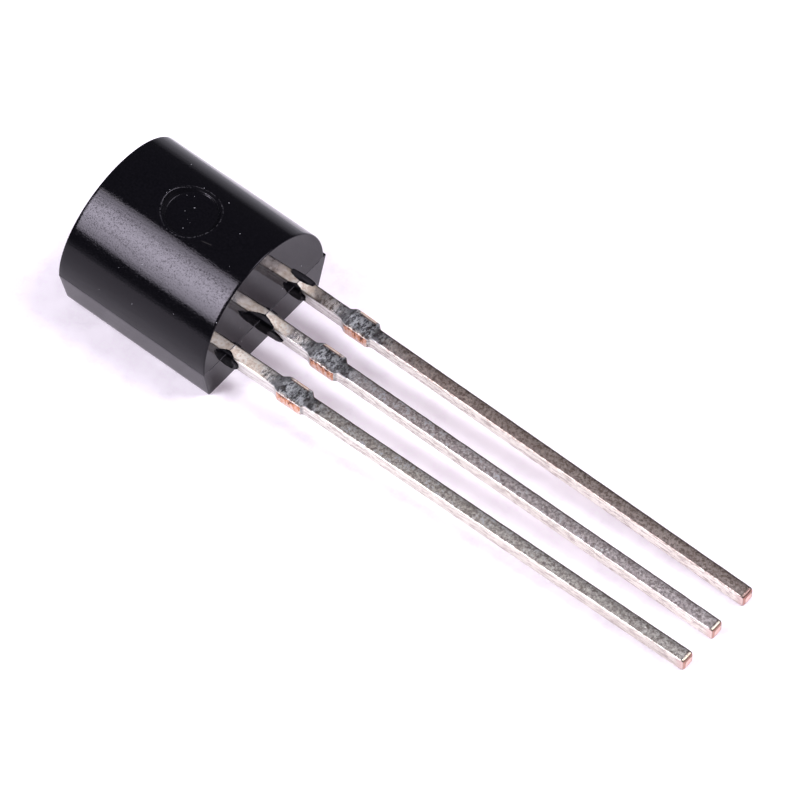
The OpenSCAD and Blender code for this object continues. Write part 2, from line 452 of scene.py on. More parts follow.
def build_bar(lane):
    """The part of a lead outside the case, with the dam bar's remains and its sheared tip."""
    wear = [waves(WEAR_SEED + 10 * lane + i, WEAR_SPACING)
            for i in range(2 * len(SECTION_CORNERS))]
    rings, bare = [], []
    for x in lead_stations():
        section, section_bare = lead_section(lane, x, wear)
        rings.append([(x, y, z) for y, z in section])
        bare += section_bare
    end = len(section)
    bare[-end:] = [1] * end
    bar = closed_object(LEAD_NODES[lane] + "_tinned", rings)
    mask = bar.data.attributes.new("bare", "FLOAT", "POINT")
    mask.data.foreach_set("value", bare)
    drop_slivers(bar, turn_out=True)
    return bar


WELD_METRES = 1e-8  # vertices closer than this are one


def welded_copy(node, cut_x=None):
    """Closed copy of a CAD node's mesh, cut off square at cut_x if that is given."""
    work = bmesh.new()
    work.from_mesh(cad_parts[node].data)
    bmesh.ops.remove_doubles(work, verts=work.verts, dist=WELD_METRES)
    if cut_x is not None:
        cut = bmesh.ops.bisect_plane(
            work, geom=work.verts[:] + work.edges[:] + work.faces[:],
            plane_co=(cut_x * MM, 0, 0), plane_no=(1, 0, 0), clear_outer=True)
        edges = [e for e in cut["geom_cut"] if isinstance(e, bmesh.types.BMEdge)]
        bmesh.ops.contextual_create(work, geom=edges)
    mesh = bpy.data.meshes.new(node + "_copy")
    work.to_mesh(mesh)
    work.free()
    return add_object(node + "_copy", mesh)


# ---- Resin flash ----

# How far resin bled along a lead, by its place on the lead's section: millimetres down from the
# middle of the upper face, round the edge and down the side, against millimetres from the case
FLASH = {
    (BASE, -1): [
        (0.06, 0), (0.10, 0.08), (0.16, 0.19), (0.25, 0.31), (0.33, 0.36), (0.42, 0.36),
        (0.52, 0.30), (0.60, 0.18), (0.66, 0)],
    (BASE, 1): [(0.19, 0), (0.26, 0.10), (0.36, 0.18), (0.46, 0.16), (0.58, 0)],
    (COLLECTOR, -1): [
        (0.00, 0), (0.02, 0.09), (0.07, 0.22), (0.12, 0.33), (0.19, 0.40), (0.26, 0.47),
        (0.34, 0.62), (0.41, 0.68), (0.48, 0.66), (0.55, 0.58), (0.61, 0.36), (0.66, 0)],
    (COLLECTOR, 1): [(0.18, 0), (0.24, 0.12), (0.36, 0.24), (0.46, 0.20), (0.58, 0)],
    (EMITTER, -1): [
        (0.09, 0), (0.12, 0.08), (0.17, 0.20), (0.25, 0.26), (0.33, 0.32), (0.41, 0.34),
        (0.49, 0.30), (0.57, 0.20), (0.64, 0)],
    (EMITTER, 1): [
        (0.00, 0), (0.02, 0.12), (0.05, 0.24), (0.09, 0.34), (0.14, 0.38), (0.20, 0.37),
        (0.30, 0.40), (0.44, 0.34), (0.55, 0.20), (0.62, 0)],
}
FLASH_COLUMNS = 40
FLASH_ROWS = 16
FLASH_NOSE = 0.07
FLASH_ON_TOP = 0.022
FLASH_ON_SIDE = 0.075
FLASH_BEND = (0.12, 0.30)  # where along the half outline it thickens from top to side
FLASH_EDGE = 0.08  # along which it thins out to nothing at both edges
FLASH_TAPER = 0.55 / 0.7  # how much thinner it gets per millimetre from the case
FLASH_LUMPS = [(0.034, 1), (0.022, 3.1)]  # how far each wave sways its reach, and how fast
LUMP_SPACING = 0.05
LUMP_SEED = 90
CURVE_END_SLOPE = 1.6  # against the first and the last chord
FLASH_ROOT = 0.12  # how far its solid starts inside the case
FLASH_BED = 0.02  # how far its solid starts inside the lead
LEAD_EDGE_ROUND = 0.035


def round_curve(points, place):
    """Smooth curve through points (place, value), steeper at its ends than its chords."""
    places = [p[0] for p in points]
    values = [p[1] for p in points]
    slopes = np.gradient(values, places)
    slopes[[0, -1]] *= CURVE_END_SLOPE
    index = min(max(int(np.searchsorted(places, place)) - 1, 0), len(places) - 2)
    width = places[index + 1] - places[index]
    t = (place - places[index]) / width
    return max(0, (2 * t ** 3 - 3 * t ** 2 + 1) * values[index]
               + (t ** 3 - 2 * t ** 2 + t) * width * slopes[index]
               + (3 * t ** 2 - 2 * t ** 3) * values[index + 1]
               + (t ** 3 - t ** 2) * width * slopes[index + 1])


def lead_skin(place, lift):
    """Point off a lead's section, at a place along its half outline and lifted off its face."""
    flat = LEAD_HALF_WIDTH - LEAD_EDGE_ROUND
    bend = LEAD_EDGE_ROUND * pi / 2
    side = PARTING_Z - STRIP_BOTTOM - 2 * LEAD_EDGE_ROUND
    half = flat + bend + side / 2
    if place > half:
        y, z = lead_skin(2 * half - place, lift)
        return y, PARTING_Z + STRIP_BOTTOM - z
    if place < flat:
        return place, PARTING_Z + lift
    if place > flat + bend:
        return LEAD_HALF_WIDTH + lift, PARTING_Z - LEAD_EDGE_ROUND - (place - flat - bend)
    turn = (place - flat) / LEAD_EDGE_ROUND
    reach = LEAD_EDGE_ROUND + lift
    return flat + reach * sin(turn), PARTING_Z - LEAD_EDGE_ROUND + reach * cos(turn)


def build_flash(lane, side, outline):
    """Closed skin of resin on one side of a lead, thicker on the side than over the top."""
    lumps = waves(7 * lane + side + LUMP_SEED, LUMP_SPACING)
    rows = [1 - (1 - i / FLASH_ROWS) ** 2 for i in range(FLASH_ROWS + 1)]
    first, last = outline[0][0], outline[-1][0]
    points = []
    for column in range(FLASH_COLUMNS + 1):
        place = first + (last - first) * column / FLASH_COLUMNS
        edge = min(place - first, last - place)
        reach = round_curve(outline, place)
        reach += sum(sway * lumps(speed * place) for sway, speed in FLASH_LUMPS)
        reach = max(reach, 0) if 0 < column < FLASH_COLUMNS else 0
        thick = FLASH_ON_TOP + (FLASH_ON_SIDE - FLASH_ON_TOP) * smooth_step(*FLASH_BEND, place)
        thick *= sqrt(min(max(edge, 0) / FLASH_EDGE, 1))
        for is_skin in (True, False):
            for row in rows:
                out = -FLASH_ROOT + row * (FLASH_ROOT + reach)
                nose = min((1 - row) * (FLASH_ROOT + reach) / FLASH_NOSE, 1)
                taper = 1 - FLASH_TAPER * max(out, 0)
                lift = thick * taper * sqrt(max(1 - (1 - nose) ** 2, 0))
                y, z = lead_skin(place, lift if is_skin else -FLASH_BED)
                x = END_X + out
                points.append((x, lean_y(lane, x) + side * y, z))
    # A column's edges along its skin and its bed, then at its root and its nose
    half, count = len(rows), 2 * len(rows)
    edges = [(i, i + 1) for i in range(count - 1) if i != FLASH_ROWS]
    edges += [(0, half), (FLASH_ROWS, count - 1)]
    ends = (0, FLASH_COLUMNS * count)
    faces = [[a + i, a + j, a + count + j, a + count + i]
             for a in range(*ends, count) for i, j in edges]
    faces += [[*range(a, a + half), *range(a + half, a + count)[::-1]] for a in ends]
    made = new_mesh_object("flash", points, faces)
    drop_slivers(made, turn_out=True)
    return made


SEAM_RADIUS = 0.012
SEAM_SWELL = 0.35  # how far its radius wanders, as a share
SEAM_SUNK = 0.003  # its middle line inside the end face
SEAM_ENDS = (-2.20, 2.15)
SEAM_POINT = 0.1  # what is left of its radius at both ends
SEAM_STEP = 0.08
SEAM_SIDES = 8
SEAM_SPACING = 0.25
SEAM_SEED = 150


def build_seam(side):
    """Bead of resin along the parting line, across one end face."""
    swell = waves(SEAM_SEED + side, SEAM_SPACING)
    places = [y for y, _ in line((SEAM_ENDS[0], 0), (SEAM_ENDS[1], 0), SEAM_STEP)]
    rings = []
    for y in places:
        at_end = y in (places[0], places[-1])
        radius = SEAM_RADIUS * (SEAM_POINT if at_end else 1 + SEAM_SWELL * swell(y))
        ring = arc((END_X - SEAM_SUNK, PARTING_Z), radius, 0, tau, SEAM_SIDES)[:-1]
        rings.append([(side * x, y, z) for x, z in ring])
    made = closed_object("seam", rings)
    drop_slivers(made, turn_out=True)
    return made


# ---- Dust ----

# On the round side: place along it, angle from its top towards -Y in degrees, and radius
DUST_ON_ROUND = [
    (-0.08, -17.5, 0.010), (-0.78, -4.4, 0.009), (-0.78, -1.4, 0.008), (-0.24, -20.9, 0.013),
    (0.44, -16.7, 0.010), (0.48, -22.6, 0.012), (1.32, -6.8, 0.011), (-1.02, -34.0, 0.013),
    (-0.18, 44.6, 0.013), (-0.69, 55.0, 0.011), (-1.02, 78.5, 0.011), (-0.04, 72.2, 0.016),
    (2.20, 48.1, 0.012), (-1.60, 20.0, 0.009), (1.70, 15.0, 0.008), (1.10, 60.0, 0.009)]
# In the ejector mark, in X and Y
DUST_IN_MARK = [
    (-0.05, 0.17, 0.021), (-0.17, -0.04, 0.011), (0.11, -0.45, 0.011), (0.14, -0.23, 0.006),
    (0.03, -0.19, 0.006), (-0.27, 0.42, 0.009), (-0.43, 0.34, 0.007)]
# On the end face at the leads, in Y and Z
DUST_ON_END = [
    (-0.94, 1.64, 0.013), (-0.89, 1.02, 0.012), (0.43, 1.04, 0.010), (1.35, 1.67, 0.014),
    (0.64, 1.51, 0.010)]
SPECK_SIDES = 7
SPECK_RINGS = [(1, -0.3), (0.8, 0.45), (0.4, 0.8)]  # radius and height against its radius
SPECK_STRETCH = (0.7, 1.5)
SPECK_RAGGED = (0.75, 1.2)
DUST_SEED = 5


def dust_spots():
    """Middle, outward direction and radius of every speck."""
    for x, angle, radius in DUST_ON_ROUND:
        turn = radians(angle)
        out = Vector((0, -sin(turn), cos(turn)))
        yield Vector((x, ROUND_SHIFT, PARTING_Z + LAND_HEIGHT)) + ROUND_RADIUS * out, out, radius
    for x, y, radius in DUST_IN_MARK:
        yield Vector((x, y, TOP_Z - MARK_DEPTH)), Vector((0, 0, 1)), radius
    for y, z, radius in DUST_ON_END:
        yield Vector((end_x(z), y, z)), Vector((1, 0, 0)), radius


def add_dust(case):
    """Adds the dust specks to the case's mesh as low domes with a finish of their own."""
    work = bmesh.new()
    work.from_mesh(case.data)
    draw = Random(DUST_SEED)
    turns = [tau * i / SPECK_SIDES for i in range(SPECK_SIDES)]
    for centre, out, radius in dust_spots():
        level = out.orthogonal().normalized()
        across = out.cross(level)
        stretch = draw.uniform(*SPECK_STRETCH)
        rings = [[work.verts.new((centre + radius * (
            lift * out + share * (cos(t) * level * stretch + sin(t) * across / stretch)
            * draw.uniform(*SPECK_RAGGED))) * MM) for t in turns] for share, lift in SPECK_RINGS]
        made = [work.faces.new(rings[-1]), work.faces.new(rings[0][::-1])]
        for lower, upper in zip(rings, rings[1:]):
            made += [work.faces.new(face) for face in between(upper, lower)]
        for face in made:
            face.material_index = 1
            face.smooth = True
    work.to_mesh(case.data)
    work.free()


# ---- Moulded case ----

ON_END = 1e-3  # a face no further than this from an end face
FLAT_ON_END = 0.99  # and turned this squarely along the case lies in it


def build_case(leads):
    """The moulded case: its shell with the flash, round the pieces that it holds."""
    case = build_case_shell()
    added = [build_flash(lane, side, outline) for (lane, side), outline in FLASH.items()]
    added += [build_seam(1), build_seam(-1)]
    combine(case, added, "UNION")
    combine(case, leads, "DIFFERENCE", keep=True)
    held = [welded_copy(node) for node in ("die_attach", "die", "emitter_wire", "base_wire")]
    combine(case, held, "DIFFERENCE")
    drop_slivers(case)
    shade_smooth(case)
    for face in case.data.polygons:
        x, _, z = face.center / MM
        if abs(abs(x) - end_x(z)) < ON_END and abs(face.normal.x) > FLAT_ON_END:
            face.use_smooth = False
    return case


# ---- Shader nodes ----

def put(value, socket):
    """Feeds a socket from a Value, or sets it to a number or colour."""
    if isinstance(value, Value):
        socket.id_data.links.new(value.socket, socket)
    else:
        socket.default_value = value


def add_node(tree, kind, inputs=None, **settings):
    node = tree.nodes.new("ShaderNode" + kind)
    for key, value in settings.items():
        setattr(node, key, value)
    for key, value in (inputs or {}).items():
        put(value, node.inputs[key])
    return node


def reckon(tree, operation, *values, kind="Math", output=0):
    """What a node for sums makes of the values, which feed its inputs in their order."""
    return Value(add_node(tree, kind, dict(enumerate(values)), operation=operation), output)


def by(operation):
    """Method that reckons with a value and others."""
    return lambda value, *others: reckon(value.tree, operation, value, *others)


class Value:
    """What a node gives out: a number, a place or a colour."""

    def __init__(self, node, output=0):
        self.socket = node.outputs[output]
        self.tree = node.id_data

    def __rsub__(self, other):
        return reckon(self.tree, "SUBTRACT", other, self)

    __add__ = by("ADD")
    __sub__ = by("SUBTRACT")
    __mul__ = by("MULTIPLY")
    __truediv__ = by("DIVIDE")
    __abs__ = by("ABSOLUTE")
    higher = by("MAXIMUM")

    def vector(self, operation, *others):
        return reckon(self.tree, operation, self, *others, kind="VectorMath")

    def scaled(self, factors):
        """Times the factors, one for each axis or colour channel."""
        return self.vector("MULTIPLY", factors)

    def length(self):
        return reckon(self.tree, "LENGTH", self, kind="VectorMath", output="Value")

    def axes(self):
        """X, Y and Z of a place."""
        node = add_node(self.tree, "SeparateXYZ", {"Vector": self})
        return [Value(node, axis) for axis in "XYZ"]

    def noise(self, scale, detail=2, roughness=0.5):
        """Noise at a place, between about 0.2 and 0.8, with scale lumps to a millimetre."""
        return Value(add_node(self.tree, "TexNoise", {
            "Vector": self, "Scale": scale, "Detail": detail, "Roughness": roughness}), "Fac")

    def ramp(self, *stops):
        """Colour or grey along a value: each stop is (position, colour)."""
        node = add_node(self.tree, "ValToRGB", {"Fac": self})
        stripe = node.color_ramp
        while len(stripe.elements) < len(stops):
            stripe.elements.new(0.5)
        for element, (position, colour) in zip(stripe.elements, stops):
            element.position = position
            element.color = (*colour, 1) if isinstance(colour, tuple) else (colour,) * 3 + (1,)
        return Value(node)

    def under(self, colour, share):
        """This colour with a share of another one laid over it."""
        colour = (*colour, 1) if isinstance(colour, tuple) else colour
        node = add_node(self.tree, "Mix", {0: share, 6: self, 7: colour}, data_type="RGBA")
        return Value(node, 2)

    def bump(self, distance):
        """Normal of a relief whose height runs from 0 to 1 over this distance in millimetres."""
        return Value(add_node(self.tree, "Bump", {"Height": self, "Distance": distance * MM}))


def surface(tree, kind):
    return Value(add_node(tree, "TexCoord"), kind)


def millimetres(tree, stretch=(1, 1, 1)):
    """Place on the object in millimetres, each axis times its stretch."""
    return surface(tree, "Object").scaled([factor / MM for factor in stretch])


def seen_directly(tree):
    """1 for what the camera sees, also in a gloss or through a glass."""
    rays = add_node(tree, "LightPath")
    camera, glass, gloss = [Value(rays, f"Is {kind} Ray")
                            for kind in ("Camera", "Transmission", "Glossy")]
    return camera.higher(glass).higher(gloss)


def new_material(name):
    """A new material and its tree of nodes."""
    material = bpy.data.materials.new(name)
    material.use_nodes = True
    return material, material.node_tree


def finish(material, **inputs):
    """Sets the shader's inputs, whose names are written with _ for each space."""
    shader = material.node_tree.nodes["Principled BSDF"]
    for key, value in inputs.items():
        put(value, shader.inputs[key.replace("_", " ")])
    return material


# ---- Materials ----

# Scratches on the crown, by their angle round it: a pair side by side, and a short slanting one
SCRATCH_PAIR_AT = radians(20.3)
SCRATCH_PAIR_HALF_GAP = radians(0.6)
SHORT_SCRATCH_AT = radians(15.5)
SHORT_SCRATCH_SLANT = radians(5)  # turned back per millimetre along the case


class EpoxyPlaces:
    """Where a point of the case lies, and the random patterns that its finishes share."""

    def __init__(self, tree):
        place = millimetres(tree)
        facing_x, _, facing_z = surface(tree, "Normal").axes()
        self.x, y, self.z = place.axes()
        self.on_side = abs(facing_x).ramp((0.6, 1), (0.9, 0))  # and not on an end face
        self.on_top = facing_z.ramp((0.4, 0), (0.5, 1))
        # Angle round the crown, in radians from its top towards -Y
        self.turn = reckon(tree, "ARCTAN2", ROUND_SHIFT - y, self.z - (PARTING_Z + LAND_HEIGHT))
        self.reach = place.scaled((1, 1, 0)).length()  # from the ejector mark's middle
        self.speckle = place.noise(22)
        self.pits = place.noise(26).ramp((0.3, 0), (0.38, 1))
        self.cloud = millimetres(tree, (0.4, 1, 1)).noise(1.6, 4, 0.7)
        self.lines = millimetres(tree, (0.08, 1, 1)).noise(9, 4, 0.65)


def scratches(at):
    pair = abs(abs(at.turn - SCRATCH_PAIR_AT) - SCRATCH_PAIR_HALF_GAP).ramp((0.003, 1), (0.007, 0))
    pair = pair * at.lines.ramp((0.44, 0), (0.58, 1))
    short = abs(at.turn + at.x * SHORT_SCRATCH_SLANT - SHORT_SCRATCH_AT)
    short = (short.ramp((0.003, 0.2), (0.007, 0))
             * at.x.ramp((0.7, 0), (0.8, 1), (1, 1), (1.1, 0)))
    return pair.higher(short) * at.on_side


def mark_rim_highlight(at):
    """The ejector mark's rim, painted pale in broken dots: a painted highlight along its edge."""
    rim = abs(at.reach - MARK_RADIUS).ramp((0.008, 1), (0.02, 0))
    return (rim * at.speckle.ramp((0.46, 0), (0.56, 1)) * at.on_top
            * at.cloud.ramp((0.42, 0.15), (0.56, 0.9)))


def mark_dullness(at):
    """How much rougher the ejector mark's wall is, and the edge of its floor."""
    wall = at.reach.ramp((MARK_FLOOR_RADIUS + 0.01, 0), (MARK_FLOOR_RADIUS + 0.03, 1),
                         (MARK_RADIUS - 0.05, 1), (MARK_RADIUS - 0.02, 0))
    wall = wall * at.on_top * at.cloud.ramp((0.4, 0.3), (0.58, 1))
    foot = abs(at.reach - MARK_FLOOR_RADIUS).ramp((0.03, 0.16), (0.05, 0)) * at.on_top
    return wall * 0.3 + foot


def parting_bead_highlight(at):
    """The bead along the parting line, painted pale in dots: a painted highlight along it."""
    seam = abs(at.z - PARTING_Z).ramp((0.008, 1), (0.016, 0))
    return seam * at.speckle.ramp((0.4, 0.2), (0.55, 1)) * (1 - at.on_side)


def epoxy_material():
    """Glossy black moulding resin, finely pitted, with the mould's drawing lines along it."""
    material, tree = new_material("moulded_epoxy")
    at = EpoxyPlaces(tree)
    scratch, rim, seam = scratches(at), mark_rim_highlight(at), parting_bead_highlight(at)
    colour = at.speckle.ramp((0.35, (0.0022, 0.0022, 0.003)), (0.75, (0.0042, 0.004, 0.0053)))
    colour = colour.under((0.09, 0.084, 0.08), scratch)
    # Painted highlights: pale dots on the ejector mark's rim and a pale line on the parting bead.
    colour = colour.under((0.045, 0.044, 0.048), rim).under((0.1, 0.095, 0.105), seam)

    # The crown is coarsest along a band half way down to the leads.
    coarse = at.on_side * at.turn.ramp(
        (radians(23), 0.35), (radians(27), 1), (radians(40), 1), (radians(46), 0.5))
    worn = (at.speckle + at.cloud * 0.5).ramp((0.62, 0.03), (0.85, 0.12), (0.95, 0.2)) * coarse
    hazy = at.turn.ramp((radians(22), 0.03), (radians(26), 0.08), (radians(32), 0.03))
    matt = worn + hazy + mark_dullness(at) + scratch * 0.3 + rim * 0.35 + seam * 0.4
    relief = (at.pits * 0.25 + at.speckle * 0.8 + at.lines * 0.9) * (coarse + 0.3)
    return finish(material, Base_Color=colour, Roughness=matt, IOR=1.28,
                  Specular_Tint=(0.97, 0.93, 1, 1), Normal=relief.bump(0.0022))


def dust_material():
    material, tree = new_material("dust")
    grain = millimetres(tree).noise(4)
    colour = grain.ramp((0.4, (0.2, 0.2, 0.21)), (0.6, (0.5, 0.5, 0.52)))
    return finish(material, Base_Color=colour, Roughness=0.9)


RAGGED = 0.06  # how far the stains' edges wander, in centimetres
GRIME_START = (0.061, 0.0138)  # centimetres from the case, and less by this for each mm of Y
LEAN = (0.043, 0.106)  # at the tips, towards +Y, and less by this for each mm of Y
LANES = (0.2, 0.5, 0.8)  # base, collector and emitter


class LeadPlaces:
    """Where a point of a lead lies, and the random patterns that its finishes share."""

    def __init__(self, tree):
        self.tree = tree
        self.place = millimetres(tree)
        x, self.y, self.z = self.place.axes()
        self.facing_x, self.facing_y, _ = surface(tree, "Normal").axes()
        self.to_tip = TIP_X - x
        self.share = (x - END_X) * (1 / LEAD_LENGTH)  # 0 at the case, 1 at the tip
        # Centimetres from the case, made ragged, and from where the grime starts
        self.ragged = self.place.noise(6, 3, 0.6) - 0.5
        self.reach = (x - END_X) * 0.1 + self.ragged * RAGGED
        self.beyond = self.reach - (GRIME_START[0] - self.y * GRIME_START[1])
        # Place across a lead, from its middle line, which leans towards the tip
        lean = (LEAN[0] - self.y * LEAN[1]) * self.share
        self.across = reckon(tree, "WRAP", self.y - lean, LEAD_PITCH / 2, -LEAD_PITCH / 2)
        self.fine = self.place.noise(12, 5, 0.8)
        self.streak = self.stretched(1, 0.5, 1).noise(22, 4, 0.8)
        self.grain = self.stretched(1.4, 1.4, 0.6).noise(9, 4, 0.75)
        self.on_flank = abs(self.facing_y).ramp((0.75, 0), (0.95, 1))

    def stretched(self, *stretch):
        return millimetres(self.tree, stretch)

    def by_lane(self, *colours):
        """One colour for each lead."""
        return (self.y * 0.25 + 0.5).ramp(*zip(LANES, colours))


def speckled_top(at):
    """Speckled grey, browner towards one side of the part, with painted light brightening it
    towards the case.
    """
    tin = at.fine.ramp(
        (0.42, (0.3, 0.27, 0.24)), (0.5, (0.68, 0.64, 0.59)), (0.58, (1, 0.99, 0.94)))
    blotch = at.place.noise(2.5, 4, 0.6).ramp((0.44, 0), (0.62, 0.4))
    tin = tin.under((0.5, 0.45, 0.41), blotch)
    tin = tin.scaled(at.by_lane((1, 1, 0.95), (1, 0.96, 0.98), (0.64, 0.56, 0.52)))
    # Painted light: brighter towards the case, where its end face mirrors the lamp onto the tops.
    tin = tin.scaled(at.share.ramp(
        (0.28, (1.28, 1.24, 1.22)), (0.6, (1.12, 1.11, 1.1)), (0.9, (1, 1, 1))))
    return tin.vector("MINIMUM", (1, 1, 1))


def grimed(at, tin):
    """Lays streaks of grime across the top, beyond a cleaner length next to the case."""
    grime = at.stretched(1, 0.35, 1).noise(16, 4, 0.85).ramp(
        (0.45, (0.05, 0.047, 0.04)), (0.49, (0.62, 0.58, 0.52)), (0.525, (1, 0.97, 0.9)))
    grime = grime.scaled(at.by_lane((0.92, 0.92, 0.9), (0.78, 0.78, 0.77), (0.64, 0.64, 0.65)))
    share = (at.beyond.ramp((0, 0), (0.03, 0.9), (0.08, 0.8), (0.2, 0))
             * at.reach.ramp((0.09, 0.75), (0.115, 1)))
    clean = at.fine.ramp(
        (0.38, (0.66, 0.55, 0.42)), (0.46, (1, 0.89, 0.74)), (0.58, (1, 0.97, 0.86)))
    patches = at.place.noise(5, 3, 0.7).ramp((0.5, 0), (0.58, 0.6))
    clean = clean.under((0.7, 0.57, 0.43), patches)
    return tin.under(grime, share).under(clean, at.beyond.ramp((0, 1), (0.025, 0)))


def worked(at, tin):
    """Lays the bluish, blotched finish over the length where the dam bar was sheared off, with
    painted shade at its ends and towards the +Y edge.
    """
    lumps = at.stretched(1, 0.6, 1).noise(8, 2, 0.6) * 0.5 + at.streak * 0.5
    dull = lumps.ramp((0.45, (0.03, 0.03, 0.032)), (0.49, (0.26, 0.28, 0.29)),
                      (0.515, (0.38, 0.4, 0.41)), (0.545, (0.72, 0.75, 0.75)))
    # Painted shade: dark bands at both ends of the dam bar's remains, where the surface slopes
    # away.
    ends = at.reach.ramp((0.125, 0), (0.138, 0.95), (0.158, 0.95), (0.168, 0), (0.225, 0),
                         (0.235, 0.9), (0.25, 0.8), (0.262, 0))
    dull = dull.under((0.07, 0.072, 0.075), ends * 0.8)
    share = at.reach.ramp((0.11, 0), (0.14, 0.9), (0.25, 0.9), (0.29, 0.3), (0.45, 0))
    tin = tin.under(dull, share)
    # Painted shade: the top darkens towards its rolled +Y edge.
    return tin.scaled((at.across + 0.5).ramp((0.34, 1), (0.5, 0.93), (0.6, 0.75), (0.65, 0.6)))


def tip_edged(at, tin):
    """Lays on the tip's upper edge, bare of grime, with a dark line behind it."""
    behind = at.to_tip.ramp((0.09, 0), (0.1, 0.8), (0.12, 0.8), (0.14, 0))
    edge = at.by_lane((0.24, 0.2, 0.15), (0.23, 0.21, 0.16), (0.11, 0.07, 0.06))
    tin = tin.under((0.12, 0.09, 0.07), behind)
    return tin.under(edge, at.to_tip.ramp((0.085, 1), (0.095, 0)))


def rolled(at, tin):
    """Lays painted shade on the stamping's rolled edge, and the torn edge at the dam bar with a
    painted highlight along it.
    """
    # Painted shade: the rolled +Y edge is darkened.
    edge = at.facing_y.ramp((0.06, 0), (0.25, 1), (0.8, 1), (0.95, 0)) * 0.85
    torn_at = at.across + at.ragged * 0.02
    # In the torn edge the cream band is a painted highlight of the burr's rounded edge; the orange
    # is bare copper.
    torn = torn_at.ramp(
        (0.2, (0.26, 0.15, 0.12)), (0.228, (0.22, 0.12, 0.09)), (0.236, (0.8, 0.7, 0.58)),
        (0.262, (0.8, 0.66, 0.5)), (0.27, (0.95, 0.42, 0.2)), (0.3, (0.6, 0.24, 0.13)))
    share = (at.reach.ramp((0.166, 0), (0.176, 1), (0.214, 1), (0.22, 0))
             * torn_at.ramp((0.195, 0), (0.215, 0.9)))
    return tin.under((0.08, 0.065, 0.055), edge).under(torn, share)


def flank(at):
    """Paler side, stained along it, with broken score marks and a line of painted shade along its
    lower edge; it reddens towards the tip.
    """
    pale = at.share.ramp((0.08, (1, 1, 0.95)), (0.2, (1, 1, 0.91)), (0.9, (0.96, 0.92, 0.83)))
    pale = pale.scaled(at.by_lane((0.82, 0.81, 0.8), (1, 1, 1), (0.98, 0.97, 0.97)))
    stained = (at.stretched(0.2, 1, 1).noise(16, 4, 0.8).ramp((0.42, 0.9), (0.5, 0))
               * at.reach.ramp((0.1, 0.4), (0.2, 1)))
    sway = at.stretched(0.25, 0.25, 0.25).noise(4, 3, 0.6)
    level = at.z + sway * 0.1 - (STRIP_BOTTOM + 0.05)
    # The lowest line, along the lower edge, is painted shade; the two above it are score marks.
    scoring_and_shade = (level.ramp((0, 0.8), (0.03, 0.7), (0.05, 0), (0.11, 0), (0.125, 0.7), (0.15, 0),
                         (0.24, 0), (0.265, 0.9), (0.29, 0))
              * at.streak.ramp((0.42, 0.15), (0.58, 1)) * at.reach.ramp((0.15, 1), (0.4, 0.45)))
    pale = pale.under((0.5, 0.44, 0.4), stained).under((0.2, 0.15, 0.13), scoring_and_shade)
    return pale.under((0.6, 0.38, 0.35), at.to_tip.ramp((0.06, 0.7), (0.3, 0)))


def sheared(at, tin):
    """Lays on bare copper: darker on the dam bar's remains, pale on the tips."""
    # Darker near the upper face; the pale pink lower down is a painted highlight.
    depth = PARTING_Z - at.z + (at.grain - 0.5) * 1.2
    copper = depth.ramp(
        (0, (0.08, 0.025, 0.015)), (0.06, (0.3, 0.1, 0.045)), (0.12, (0.66, 0.27, 0.12)),
        (0.2, (0.74, 0.42, 0.28)), (0.32, (0.78, 0.62, 0.56)))
    copper = copper.under((0.82, 0.54, 0.46), at.to_tip.ramp((0.2, 1), (0.3, 0)))
    bare = Value(add_node(at.tree, "Attribute", attribute_name="bare"), "Fac")
    return tin.under(copper, (bare + at.streak * 0.9).ramp((0.86, 0), (0.94, 1)))


def rimmed(at, tin):
    """Lays painted glints on painted dark along the -Y edge of the dam bar's remains, and the
    tips' reddish rim.
    """
    # Painted highlight and painted shade: cream glints on dark brown where the -Y edge at the dam
    # bar faces the lamp.
    edge = ((at.facing_y * -1).ramp((0.05, 0), (0.15, 1), (0.93, 1), (0.98, 0))
            * at.reach.ramp((0.16, 0), (0.17, 1), (0.22, 1), (0.23, 0))
            * (at.across + 0.5).ramp((0.48, 1), (0.52, 0)))
    painted_glints = at.grain.ramp((0.48, (0.1, 0.05, 0.035)), (0.54, (0.95, 0.84, 0.72)))
    rim = at.facing_x.ramp((0.6, 0), (0.72, 0.8), (0.92, 0.8), (0.98, 0))
    return tin.under(painted_glints, edge).under((0.5, 0.25, 0.2), rim)


def tin_material():
    """Tarnished tin plating, bare copper where the lead frame was sheared."""
    material, tree = new_material("tinned_copper")
    at = LeadPlaces(tree)
    tin = rolled(at, tip_edged(at, worked(at, grimed(at, speckled_top(at)))))
    tin = rimmed(at, sheared(at, tin.under(flank(at), at.on_flank)))

    # Duller next to the case, and smoother on the grimy length before the dam bar
    smooth = at.beyond.ramp((0, 0), (0.03, 1)) * at.reach.ramp((0.12, 1), (0.15, 0))
    matt = (at.fine.ramp((0.35, 0.38), (0.65, 0.29)) - smooth * 0.04
            + at.beyond.ramp((0, 0.05), (0.02, 0)))
    coarse = at.streak * at.reach.ramp(
        (0.05, 0), (0.1, 0.7), (0.15, 0.7), (0.2, 0.4), (0.4, 0.1))
    relief = (at.fine * 0.5 + coarse) * at.on_flank.ramp((0, 1), (1, 0.3))
    return finish(material, Base_Color=tin, Metallic=1, Roughness=matt, Normal=relief.bump(0.014))


def inner_material(name, low, high, metallic, roughness, scale):
    """Finish of a sealed inner piece: two close tones in a fine grain."""
    material, tree = new_material(name)
    grain = millimetres(tree).noise(scale)
    return finish(material, Base_Color=grain.ramp((0.3, low), (0.7, high)), Metallic=metallic,
                  Roughness=roughness, Normal=grain.bump(0.001))


# ---- Studio ----

